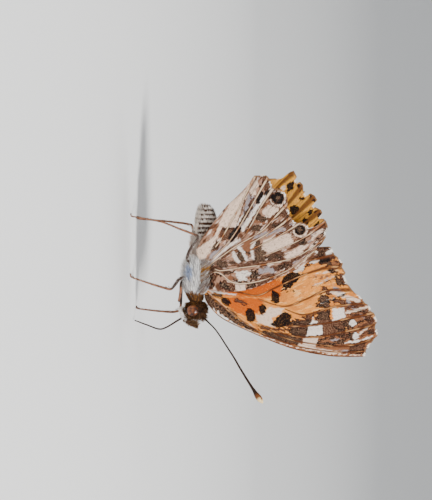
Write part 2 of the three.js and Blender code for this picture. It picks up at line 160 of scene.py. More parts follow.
# The marks are drawn on a chart with 5.77 units to a millimetre, from the middle of the thorax up the
# wing and towards the head. Each gives a half width and then the points of a soft line or, with half
# width 0, of a filled outline. A later kind is painted over an earlier one.
CHART_SCALE = 5.77
KINDS = {"tan": "7C4E34", "orange": "BC5208", "grey": "92898A", "brown": "3C1D10", "dark": "160B06",
         "cream": "E0C2AA", "white": "E2D5C8", "black": "0A0504"}
FORE_UNDER = {
    "tan": [
        (0, (66, 58), (87, 58), (104, 61), (126, 62), (152, 56), (183, 55), (170, 77), (168, 85), (134, 85),
         (96, 77), (66, 65)),
        (0, (104, 69), (144, 70), (168, 75), (168, 83), (134, 81), (106, 74)),
        (0, (150, 21), (164, 23), (176, 35), (183, 57), (170, 72), (152, 70), (150, 45), (144, 33)),
        (0, (131, -13), (140, -16), (145, -9), (142, -5), (134, -5)), (1.1, (116, 2), (124, 4), (134, 0)),
        (2, (132, 52), (142, 51)),
    ],
    "orange": [
        (0.8, (59, 53.5), (72, 60), (104, 72), (119, 75)),
        (1.2, (66, 64), (96, 74.5), (134, 82.5), (166, 83.5)),
        (0, (37, 22), (68, 24), (67, 36), (54, 42), (40, 38), (26, 25)),
        (0, (29, 3), (66, 4), (88, 6), (85, 22), (66, 23), (29, 21)), (2.2, (70, 8), (76, 12)),
    ],
    "grey": [
        (2.5, (12, 10), (26, 14)), (3, (152, 28), (158, 33)), (2.4, (166, 39), (174, 47)),
        (1.3, (142, 77), (153, 76)), (1.8, (136, 65), (143, 64)), (2.8, (139, 14), (144, 18)),
    ],
    "brown": [
        (2.2, (17, 16), (26, 19)), (1.6, (151, 33), (166, 30)), (2.6, (170, 36), (175, 45)),
        (2.4, (164, 53), (172, 49)), (1.8, (164, 59), (176, 55)),
        (0, (120, -30), (135, -28), (139, -21), (141, -16), (132, -12), (122, -16)),
        # The first mark on the next line is painted shadow that the hindwing's front edge casts on the
        # forewing just beyond it.
        (1.8, (107, -6), (117, -13)), (1.2, (104, 72), (124, 78)), (2.2, (32, 35), (40, 41)),
        (0, (95, 45), (121, 43), (122, 35), (134, 34), (136, 47), (152, 43), (149, 61), (126, 62),
         (95, 62)),
        (0, (60, 49), (80, 53), (94, 53), (94, 57), (79, 56), (66, 55)),
        (0, (134, 61), (152, 59), (154, 65), (144, 64)), (0, (153, 66), (168, 65), (168, 79), (153, 79)),
        (3, (145, 1), (148, 9)), (1.6, (140, -14), (145, -11), (141, -9)),
        # The next outline, along the hindwing's front edge and past its tip, is painted shadow that the
        # hindwing casts on the forewing.
        (0, (102, -7), (122, -25), (120, -30), (134, -29), (137, -24), (126, -17), (112, -11)),
        (2, (40, 25), (50, 29)), (2.8, (128, 15), (134, 18)), (2, (108, 43), (118, 40)),
        (2.2, (156, 28), (166, 37), (174, 49)), (1.8, (153, 38), (162, 41)), (2.6, (138, 25), (148, 28)),
        (1.4, (162, 70), (168, 68)), (0.8, (117, 12), (134, 6)),
    ],
    "dark": [
        (0, (7, 22), (12, 19), (26, 31), (44, 45), (60, 54), (86, 63), (88, 68), (56, 56.5), (40, 50),
         (26, 42), (14, 33)),
        (2.6, (125, -13), (133, -11)), (1.1, (104, 65), (120, 69)), (1.8, (17, 20), (26, 22)),
        (0, (93, 46), (115, 45), (115, 50), (94, 51)), (0, (94, 53), (112, 52), (110, 61), (94, 59)),
        (0, (124, 19), (134, 21), (135, 33), (120, 33)), (0, (121, 37), (134, 36), (134, 46), (122, 45)),
        (0, (67, 55), (87, 58), (106, 63), (104, 71), (89, 67), (66, 58)),
        (0, (120, 65), (134, 68), (149, 63), (149, 69), (134, 72), (121, 71)), (5.4, (154.5, 48)),
        (5, (157.5, 61)), (1.2, (150, 38.5), (166, 36)), (1.1, (161, 48), (174, 44)),
        (2, (172, 56), (175, 58)), (1.8, (155, 71), (167, 67)), (1.8, (155, 77), (167, 76)),
        (2, (134, -3), (142, -3.5)), (0, (136, -1), (141, 0), (148, 9), (142, 13)),
        (1.3, (122, -30), (130, -28), (136, -24)), (2.8, (126, -23), (125, -18)), (1.2, (87, 15), (98, 16)),
        (1.6, (147, 44), (149, 54)), (1.2, (138, 52), (147, 56)), (1.2, (153, 56), (154, 65)),
        (1, (122, 65), (134, 63), (152, 59)), (2.2, (28, 13), (31, 16)),
    ],
    "cream": [
        (0.5, (12, 18), (26, 30), (44, 45), (59, 53)),
        (0.4, (47, 53), (66, 61), (96, 71.5), (134, 79), (167, 80)),
        (0, (60, 40), (66, 40), (74, 32), (88, 34), (86, 39), (76, 43), (80, 53), (62, 48)),
        (1.6, (104, 70), (122, 75), (144, 78)), (0, (108, 63), (123, 63), (119, 72), (106, 70)),
        (2, (136, 17), (150, 22), (162, 26)), (1.3, (150, 38), (172, 32)), (1.1, (163, 59), (172, 52)),
        (0.7, (118, 0), (134, -3)), (0.8, (117, 10), (126, 7), (138, 1)),
    ],
    "white": [
        (0.5, (9, 28), (26, 42.6), (47, 53)), (0.7, (12, 14), (22, 18), (40, 20)),
        (0, (136, 33), (148, 33), (149, 43), (137, 46)), (0, (113, 51), (126, 50), (127, 60), (111, 61)),
        (0, (117, 42), (122, 48), (115, 49)), (2.4, (100, -4), (106, -7)), (2.6, (132, -21), (136, -24)),
        (3.5, (156.5, 48)), (3.1, (159.5, 61)), (1, (149, 68), (166, 65), (176, 61)),
        (0.9, (114, -11.5), (124, -15), (138, -21)), (0.8, (116, -14), (139, -19)),
        (0.8, (122, 29), (135, 25), (150, 18)), (0.9, (7.5, 4), (10, 12), (17, 18)),
    ],
    "black": [
        (3.4, (29, 26), (32, 28)), (4.6, (54.5, 38), (55.5, 43)), (3.6, (67, 33), (67, 36)),
        (0, (81, 43), (88, 37), (96, 40), (94, 51), (84, 53), (74, 50)),
        (0, (76, 15), (83, 18), (84, 26), (80, 30), (75, 25)),
        (0, (86, 4), (94, -3), (108, -1), (100, 7), (94, 14), (86, 12)), (2.4, (126, -14), (133, -16)),
        (1, (121, 28), (134, 26), (150, 19)), (2.6, (10.5, 0), (14, 3)),
    ],
}
COSTAL_BRISTLES = 8
FORE_UNDER["white"] += [(0.7, (18 + 4.2 * i, 34 + 2.9 * i), (20 + 4.2 * i, 37.5 + 2.7 * i))
                        for i in range(COSTAL_BRISTLES)]
WING_UPPER = {
    "brown": [(0, (0, -9), (19, -37), (50, -50), (56, -13), (56, 25), (19, 21))],
    "dark": [(1, (81, -86), (98, -106))],
    "cream": [(2.6, (87, -88))],
    "white": [
        (0, (136, 33), (148, 33), (149, 43), (137, 46)),
        (0, (113, 51), (126, 50), (123, 63), (119, 72), (106, 70)), (3.2, (156.5, 48)), (3, (159.5, 61)),
    ],
    "black": [
        (0, (90, -93), (98, -96), (97, -87), (91, -83)),
        (0, (101, -92), (108, -92), (106, -85), (101, -86)),
        (0, (113, -82), (120, -83), (120, -75), (114, -73)),
        (0, (120, -65), (127, -67), (125, -59), (121, -58)),
        (0, (127, -48), (132, -50), (131, -42), (127, -40)), (1.5, (103.5, -78), (107.5, -77)),
        (1.6, (112, -62), (115.5, -65)), (1.5, (119, -50), (122, -53)), (5, (98, -66)), (3.4, (109, -54)),
        (3, (115, -42)), (3.6, (85, -72)), (2.6, (66, -37), (82, -49), (74, -61)),
        (0, (109, 59), (122, 47), (134, 25), (137, -3), (150, -13), (188, 25), (190, 65), (170, 87),
         (104, 77)),
        (0, (50, 34), (60, 36), (72, 25), (88, 9), (108, -1), (96, 25), (95, 51), (54, 49)),
    ],
}


def smooth(start, stop, value):
    """0 before start, 1 after stop, a soft step between."""
    t = np.clip((value - start) / (stop - start), 0, 1)
    return t * t * (3 - 2 * t)


def curve(points, steps):
    """A smooth line through points, with steps between each two."""
    p = np.array([2 * np.array(points[0]) - points[1], *points, 2 * np.array(points[-1]) - points[-2]])
    u = np.linspace(0, 1, steps + 1)[:-1, None]
    parts = [0.5 * (2 * b + (c - a) * u + (2 * a - 5 * b + 4 * c - d) * u ** 2
                    + (3 * b - a - 3 * c + d) * u ** 3) for a, b, c, d in zip(p, p[1:], p[2:], p[3:])]
    return np.vstack([*parts, p[-2:-1]])


LINE_STEPS = 24


def along(points, shares, end=None):
    """Places on the line through points at the given shares of its length, or up to end."""
    dense = curve(points, LINE_STEPS)
    run = np.concatenate([[0], np.cumsum(np.linalg.norm(np.diff(dense, axis=0), axis=1))])
    reach = run[-1]
    if end is not None:
        reach = run[np.argmin(np.linalg.norm(dense - end, axis=1))]
    out = np.stack([np.interp(shares * reach, run, dense[:, i]) for i in (0, 1)], axis=1)
    if end is not None:
        out += (np.array(end) - out[-1]) * shares[:, None] ** 4
    return out, reach


# The first two are shares of a line's length, from which it bends to the margin and frays.
MARGIN_FROM = 0.72
FRAY_FROM = 0.93
FRAY_REACH = (-0.22, 0.1)
FOOT_WIDTH = 0.24
FAR = 9.0
VEIN_FADE = 40
FOOT_SHARE = 0.3


def wing_fan(lines, margin, ends, rows, parts):
    """For rows from root to margin and columns across the fan: x, z, and where the point lies.

    The margin's three points between two lines leave a small foot at each line, and it is frayed.
    """
    t = np.linspace(0, 1, rows)
    traced = [along(points, t, ends.get(k)) for k, (_, points) in enumerate(lines)]
    columns = []
    reach_across = 0.0
    fray = random.Random(5)
    fray_share = smooth(FRAY_FROM, 1, t)[:, None]
    margin_share = smooth(MARGIN_FROM, 1, t)[:, None]
    for k, ((here, length), (beyond, _)) in enumerate(zip(traced, traced[1:])):
        gap = np.linalg.norm(beyond - here, axis=1)
        foot = min(FOOT_SHARE, FOOT_WIDTH / gap[-1])
        steps = np.linspace(0, 1, parts + 1)
        for s in steps[:-1] if k + 2 < len(traced) else steps:
            point = here + (beyond - here) * s
            stops = np.array([here[-1], *margin[k], beyond[-1]])
            target = [np.interp(s, [0, foot, 0.5, 1 - foot, 1], stops[:, i]) for i in (0, 1)]
            point = point + (target - point[-1]) * margin_share
            outward = (point[-1] - point[-4]) / np.linalg.norm(point[-1] - point[-4])
            point = point + outward * fray_share * fray.uniform(*FRAY_REACH)
            vein = np.full(rows, FAR)
            for line, share in ((k, s), (k + 1, 1 - s)):
                late = np.clip((lines[line][0] - t) * VEIN_FADE, 0, FAR)
                vein = np.minimum(vein, share * gap + late)
            pleat = np.cos(2 * math.pi * s) * np.clip(gap / 2, 0, 1)
            columns.append({"x": point[:, 0], "z": point[:, 1], "vein": vein, "rim": (1 - t) * length,
                            "cell_side": pleat, "fan_across": reach_across + s * gap[-1],
                            "fan_along": t * length, "share": t})
        reach_across += gap[-1]
    return {key: np.stack([np.broadcast_to(column[key], rows) for column in columns], axis=1)
            for key in columns[0]}


def inside(points, marks):
    """For each (x, z) in millimetres, how far it lies inside the nearest of the marks."""
    best = np.full(len(points), -FAR)
    for half, *outline in marks:
        line = np.array(outline)[:, ::-1] / CHART_SCALE
        if half == 0:
            line = np.vstack([line, line[:1]])
        gap = np.linalg.norm(points - line[0], axis=1)
        odd = np.zeros(len(points), bool)
        for a, b in zip(line, line[1:]):
            d = b - a
            share = np.clip(((points - a) @ d) / (d @ d), 0, 1)
            gap = np.minimum(gap, np.linalg.norm(points - a - share[:, None] * d, axis=1))
            with np.errstate(divide="ignore", invalid="ignore"):
                cut = a[0] + (points[:, 1] - a[1]) * d[0] / d[1]
            odd ^= ((a[1] > points[:, 1]) != (b[1] > points[:, 1])) & (points[:, 0] < cut)
        best = np.maximum(best, np.where(odd, gap, -gap) if half == 0 else half / CHART_SCALE - gap)
    return best


def riding(name, data, material):
    """A piece of the still insect, whose parts all ride on its one body."""
    data.materials.append(material)
    piece = put(name, data)
    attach(piece, "root")
    return piece


def mount(shape, name, material, slot, *replaced):
    """The smooth piece that takes the place of the named solids. It gives the mesh."""
    data = bpy.data.meshes.new(name)
    shape.to_mesh(data)
    data.polygons.foreach_set("use_smooth", [True] * len(data.polygons))
    piece = riding(name, data, material)
    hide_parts(*replaced)
    return data


SPREAD = 0.85
SPREAD_HEIGHTS = (2.0, 6.5)
SHEET_OFFSET = 0.03
ROOT_SHARE = 0.11
SHEET_HALF = 0.035
VEIN_RISE = 0.08
VEIN_WIDTH = 0.11


def build_wing(name, fan, layer, root_draw, pleat_depth, side, under, material):
    """A thin closed sheet whose outer face is the underside and whose inner face is the upper side.

    It lies further out near the body, and its root is drawn in.
    """
    rows, columns = fan["x"].shape
    sheet = bmesh.new()
    bmesh.ops.create_grid(sheet, x_segments=columns - 1, y_segments=rows - 1, size=1)
    bmesh.ops.solidify(sheet, geom=sheet.verts[:] + sheet.edges[:] + sheet.faces[:], thickness=0.5)
    half_way = sum(vertex.co.z for vertex in sheet.verts) / len(sheet.verts)
    middle = layer + SPREAD * (1 - smooth(*SPREAD_HEIGHTS, fan["z"]))
    middle = middle - pleat_depth * fan["cell_side"] + SHEET_OFFSET
    middle -= root_draw * (1 - smooth(0, ROOT_SHARE, fan["share"]))
    rise = SHEET_HALF + VEIN_RISE * np.exp(-(fan["vein"] / VEIN_WIDTH) ** 2)
    spots, uppers = [], []
    for vertex in sheet.verts:
        column = round((vertex.co.x + 1) / 2 * (columns - 1))
        row = round((vertex.co.y + 1) / 2 * (rows - 1))
        upper = vertex.co.z < half_way
        y = middle[row, column] + (-1 if upper else 1) * rise[row, column]
        vertex.co = place(fan["x"][row, column], side * y, fan["z"][row, column])
        spots.append(row * columns + column)
        uppers.append(upper)
    bmesh.ops.recalc_face_normals(sheet, faces=sheet.faces[:])
    data = mount(sheet, name + "_sheet", material, "wing_scales", name)
    points = np.stack([fan["x"].ravel(), fan["z"].ravel()], axis=1)
    stored = {key: fan[key].ravel()[spots]
              for key in ("vein", "cell_side", "rim", "fan_across", "fan_along")}
    stored["upper"] = np.array(uppers, float)
    for kind in KINDS:
        below, above = (inside(points, marks.get(kind, [])) for marks in (under, WING_UPPER))
        stored[kind] = np.where(uppers, above[spots], below[spots])
    for label, value in stored.items():
        stored_data = data.attributes.new(label, "FLOAT", "POINT").data
        stored_data.foreach_set("value", value.astype(np.float32))


def node(tree, kind, **settings):
    """A node with values given by the names of its sockets and settings."""
    made = tree.nodes.new(kind)
    for key, value in settings.items():
        if key in made.inputs:
            made.inputs[key].default_value = value
        else:
            setattr(made, key, value)
    return made


def joined(made, slots, values):
    """Sets or links the slots of a node to numbers, colours and sockets."""
    for slot, value in zip(slots, values):
        if isinstance(value, bpy.types.NodeSocket):
            made.id_data.links.new(value, slot)
        else:
            slot.default_value = colour(value) if isinstance(value, str) else value
    return made


def maths(operation, *values):
    """The outcome of an operation on numbers and sockets, in the tree of the first socket."""
    tree = next(value.id_data for value in values if isinstance(value, bpy.types.NodeSocket))
    made = node(tree, "ShaderNodeMath", operation=operation)
    return joined(made, made.inputs, values).outputs[0]


def times(*values):
    return maths("MULTIPLY", *values)


def plus(*values):
    return maths("ADD", *values)


def attribute(tree, name):
    """A value stored with the points of the mesh."""
    return node(tree, "ShaderNodeAttribute", attribute_name=name).outputs["Fac"]


def ramp(value, low, high):
    """0 where the value is low, 1 where it is high, a soft step between."""
    made = node(value.id_data, "ShaderNodeMapRange", interpolation_type="SMOOTHSTEP")
    return joined(made, made.inputs, (value, low, high)).outputs["Result"]


def mixed(mask, under, over):
    """One colour painted over another where the mask is 1."""
    made = node(mask.id_data, "ShaderNodeMix", data_type="RGBA")
    return joined(made, (made.inputs[0], *made.inputs[6:8]), (mask, under, over)).outputs[2]


DULL = 0.12


def surface(name, roughness):
    """A dull material, with its nodes and its shader."""
    material = bpy.data.materials.new(name)
    material.use_nodes = True
    shader = material.node_tree.nodes["Principled BSDF"]
    shader.inputs["Roughness"].default_value = roughness
    shader.inputs["Specular IOR Level"].default_value = DULL
    return material, material.node_tree, shader


def dress(tree, shader, shown, height, strength, distance):
    """Gives the shader its colour, and bumps that follow the height."""
    tree.links.new(shown, shader.inputs["Base Color"])
    bump = node(tree, "ShaderNodeBump", Strength=strength, Distance=distance)
    tree.links.new(height, bump.inputs["Height"])
    tree.links.new(bump.outputs[0], shader.inputs["Normal"])


def scaled_surface(name, roughness, group, distance, **tones):
    """A material whose colour and bumps come from a group."""
    material, tree, shader = surface(name, roughness)
    holder = node(tree, "ShaderNodeGroup", node_tree=group, **tones)
    dress(tree, shader, holder.outputs["Color"], holder.outputs["Height"], 0.8, distance)
    return material


# The group paints the ground, then each kind of mark with an edge broken up by scales that run along
# the veins, and last the veins and the fringe of the margin.
WING_TONES = ("Ground", "Pale", "Shade", "Ridge", "Crease", "Speck")


def colour_group(name, tones=(), amounts=()):
    """A group with colours and amounts going in, and a colour and a height coming out."""
    group = bpy.data.node_groups.new(name, "ShaderNodeTree")
    sockets = [(tone, "INPUT", "Color") for tone in tones]
    sockets += [(amount, "INPUT", "Float") for amount in amounts]
    for socket, way, kind in sockets + [("Color", "OUTPUT", "Color"), ("Height", "OUTPUT", "Float")]:
        group.interface.new_socket(socket, in_out=way, socket_type="NodeSocket" + kind)
    return group, group.nodes.new("NodeGroupInput").outputs, group.nodes.new("NodeGroupOutput").inputs


scales, tones, scales_out = colour_group("wing scales", WING_TONES, ["Speckle"])
fan_place = node(scales, "ShaderNodeCombineXYZ")
scales.links.new(attribute(scales, "fan_across"), fan_place.inputs[0])
scales.links.new(attribute(scales, "fan_along"), fan_place.inputs[1])


def fan_noise(across, lengthwise, detail):
    """Noise from about -0.5 to 0.5, drawn out along the veins."""
    stretch = node(scales, "ShaderNodeMapping", Scale=(across, lengthwise, 1))
    scales.links.new(fan_place.outputs[0], stretch.inputs["Vector"])
    made = node(scales, "ShaderNodeTexNoise", Scale=1.0, Detail=detail)
    scales.links.new(stretch.outputs[0], made.inputs["Vector"])
    return maths("SUBTRACT", made.outputs["Fac"], 0.5)


broken = fan_noise(5.0, 1.6, 3.0)
fine = fan_noise(9.0, 5.0, 2.0)
mottle = fan_noise(2.2, 0.5, 4.0)
coarse = fan_noise(1.1, 0.45, 4.0)
wander = fan_noise(2.4, 1.3, 2.0)
upper = attribute(scales, "upper")

# The ground: mottled on the underside, tawny on the upper side.
shown = mixed(ramp(mottle, 0.02, 0.12), tones["Ground"], tones["Pale"])
shown = mixed(ramp(coarse, 0.0, 0.09), shown, tones["Shade"])
over = mixed(ramp(mottle, -0.12, 0.15), "C4862A", "D99A3E")
shown = mixed(upper, shown, over)

# The marks: white, cream and black ones keep steadier edges, and all have holes of lost scales.
edge_shift = plus(times(broken, 0.7), times(wander, 1.5))
STEADY_EDGES = {"cream": 0.6, "white": 0.6, "black": 0.6}
HOLE_DEPTHS = {"white": 0.15, "cream": 0.3, "black": 0.35}
for kind, tone in KINDS.items():
    shift = times(edge_shift, STEADY_EDGES.get(kind, 1.0))
    depth = plus(attribute(scales, kind), shift)
    mask = ramp(depth, -0.05, 0.07)
    if kind in ("brown", "dark"):
        inner = times(ramp(depth, 0.05, 0.45), 0.1)
        holes = ramp(plus(fine, inner), 0.06, 0.2)
        tone = mixed(times(holes, 0.6), tone, tones["Speck"])
    else:
        holes = times(ramp(fine, 0.05, 0.2), HOLE_DEPTHS.get(kind, 0.6))
        mask = times(mask, maths("SUBTRACT", 1.0, holes))
    shown = mixed(mask, shown, tone)
    if kind == "white":
        specks = ramp(plus(broken, times(fine, 0.8)), 0.06, 0.18)
        shown = mixed(times(specks, tones["Speckle"]), shown, "6B4634")

# Folds between the veins, the veins with their dark edges, and the chequered fringe.
vein = attribute(scales, "vein")
vein_edge = ramp(plus(vein, times(broken, 0.12)), 0.24, 0.12)
fold = times(ramp(attribute(scales, "cell_side"), -0.86, -0.97),
             ramp(attribute(scales, "rim"), 6.0, 2.0))
fold = times(fold, ramp(mottle, -0.1, 0.0))
shown = mixed(times(fold, 0.7), shown, "3C2014")
shown = mixed(times(vein_edge, 0.8), shown, "3A1E12")
vein_tone = mixed(ramp(coarse, -0.02, 0.12), tones["Ridge"], tones["Crease"])
vein_tone = mixed(upper, vein_tone, "6A3E16")
shown = mixed(times(ramp(vein, 0.11, 0.05), 0.9), shown, vein_tone)
rim = plus(attribute(scales, "rim"), times(broken, 0.9))
tuft_side = plus(attribute(scales, "cell_side"), times(broken, 3.0))
fringe = mixed(ramp(tuft_side, -0.4, 0.3), "F0E8DA", "7E5A3C")
shown = mixed(times(ramp(rim, 0.34, 0.2), 0.85), shown, fringe)

# Each scale is a little lighter or darker, and stands a little up or down.
scale_light = node(scales, "ShaderNodeHueSaturation")
scales.links.new(shown, scale_light.inputs["Color"])
scales.links.new(plus(times(fine, 1.3), 1.0), scale_light.inputs["Value"])
scales.links.new(scale_light.outputs[0], scales_out["Color"])
scales.links.new(plus(fine, times(broken, 0.6)), scales_out["Height"])

WING_ROWS, WING_PARTS = ((150, 10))
SCALE_RELIEF = 0.00004
WING_DULLNESS = 0.75
FORE_TONES = ("DD8A3A", "EAAC68", "CB7A34", "5E3014", "B88452", "9A7256")
FORE_PLEAT = 0.03
fore_surface = scaled_surface("forewing scales", WING_DULLNESS, scales, SCALE_RELIEF, Speckle=0.35,
                              **dict(zip(WING_TONES, map(colour, FORE_TONES))))
fore_fan = wing_fan(FORE_LINES, FORE_MARGIN, {}, WING_ROWS, WING_PARTS)
for side, label in SIDES:
    build_wing("forewing_" + label, fore_fan, FORE_LAYER, FORE_ROOT_DRAW, FORE_PLEAT, side, FORE_UNDER,
               fore_surface)

# Hindwings.
# Fans of the same make that lie outside the forewings. The right one is worn: its margin is lost
# between the fourth and eighth lines, and the upper side of the left one shows past it.
HIND_LAYER = 1.3
HIND_ROOT_DRAW = 1.25
HIND_LINES = [
    (2, [(1.2, 1.4), (2.3, 1.9), (2.9, 3.3), (3.0, 6.2), (2.3, 10.4), (0.1, 15.4), (-1.4, 18.5),
         (-3.7, 21.1)]),
    (0.08, [(0.5, 1.7), (-0.3, 3.1), (0.0, 4.5), (1.3, 6.2), (1.6, 8.5), (0.9, 12.0), (-0.9, 16.3),
            (-4.2, 20.8)]),
    (0.08, [(-0.3, 1.8), (-0.9, 3.1), (-0.6, 4.5), (-1.1, 7.6), (-1.6, 11.4), (-2.4, 15.4), (-3.3, 18.0),
            (-5.9, 22.0)]),
    (0.45, [(-0.6, 1.9), (-1.4, 4.2), (-1.9, 7.6), (-3.6, 12.8), (-5.1, 16.3), (-6.8, 19.4), (-9.3, 22.4)]),
    (0.45, [(-0.8, 1.9), (-2.0, 4.5), (-3.1, 7.6), (-4.5, 10.2), (-6.2, 13.7), (-9.2, 18.9), (-11.4, 21.6)]),
    (0.5, [(-1.0, 1.9), (-2.4, 4.5), (-4.2, 7.6), (-7.5, 13.2), (-8.8, 15.1), (-10.9, 17.5), (-14.0, 20.6)]),
    (0, [(-1.1, 1.9), (-2.9, 4.3), (-4.7, 6.8), (-7.5, 11.4), (-9.4, 13.2), (-12.4, 15.8), (-15.8, 18.5)]),
    (0.5, [(-1.3, 1.8), (-3.1, 4.0), (-6.4, 8.1), (-8.7, 9.7), (-11.8, 11.4), (-15.5, 14.0), (-18.4, 17.0)]),
    (0.1, [(-1.5, 1.7), (-3.3, 3.6), (-5.5, 5.7), (-8.3, 7.6), (-11.4, 9.4), (-14.4, 11.1), (-16.9, 12.5)]),
    (0.2, [(-1.7, 1.5), (-3.6, 2.8), (-6.2, 4.5), (-9.2, 6.2), (-12.1, 7.8), (-14.7, 9.0), (-17.2, 10.2)]),
    (2, [(-1.9, 1.2), (-2.7, 0.6), (-4.0, 0.2), (-5.6, 0.8), (-7.4, 2.0), (-9.6, 3.6), (-12.2, 5.7),
         (-14.6, 8.6)]),
]
WHOLE_MARGIN = [
    [(-3.9, 21.1), (-4.0, 21.0), (-4.1, 20.9)], [(-4.6, 20.9), (-4.9, 21.2), (-5.4, 21.7)],
    [(-6.5, 22.5), (-7.3, 22.5), (-8.6, 23.0)], [(-9.9, 22.1), (-10.2, 21.4), (-10.8, 21.8)],
    [(-11.9, 20.9), (-12.3, 20.3), (-13.2, 21.0)], [(-14.4, 20.0), (-14.0, 19.0), (-14.9, 18.7)],
    [(-16.3, 18.0), (-16.5, 17.2), (-17.2, 17.4)], [(-18.2, 16.4), (-17.2, 15.0), (-16.9, 13.6)],
    [(-17.3, 12.0), (-17.4, 11.5), (-17.3, 11.0)], [(-16.9, 9.9), (-16.1, 9.4), (-15.3, 9.0)],
]
WORN_MARGIN = WHOLE_MARGIN[:3] + [
    [(-8.4, 20.9), (-8.0, 19.7), (-8.8, 18.9)], [(-9.0, 17.7), (-9.2, 17.1), (-9.6, 16.8)],
    [(-10.4, 16.3), (-10.9, 16.2), (-11.6, 16.0)], [(-13.3, 15.9), (-14.3, 15.4), (-14.7, 14.6)],
    [(-15.4, 13.2), (-15.8, 13.0), (-16.5, 12.8)], [(-17.2, 12.1), (-17.5, 11.6), (-17.1, 11.1)],
] + WHOLE_MARGIN[9:]
HIND_PLEAT = 0.05
WORN_ENDS = {4: (-9.0, 18.2), 5: (-10.0, 16.5), 6: (-12.3, 15.9), 7: (-15.1, 13.4)}


def ring_of(px, py, radius):
    """The points of a circle on the chart."""
    angles = [k * math.pi / 8 for k in range(17)]
    return [(px + radius * math.cos(angle), py + radius * math.sin(angle)) for angle in angles]


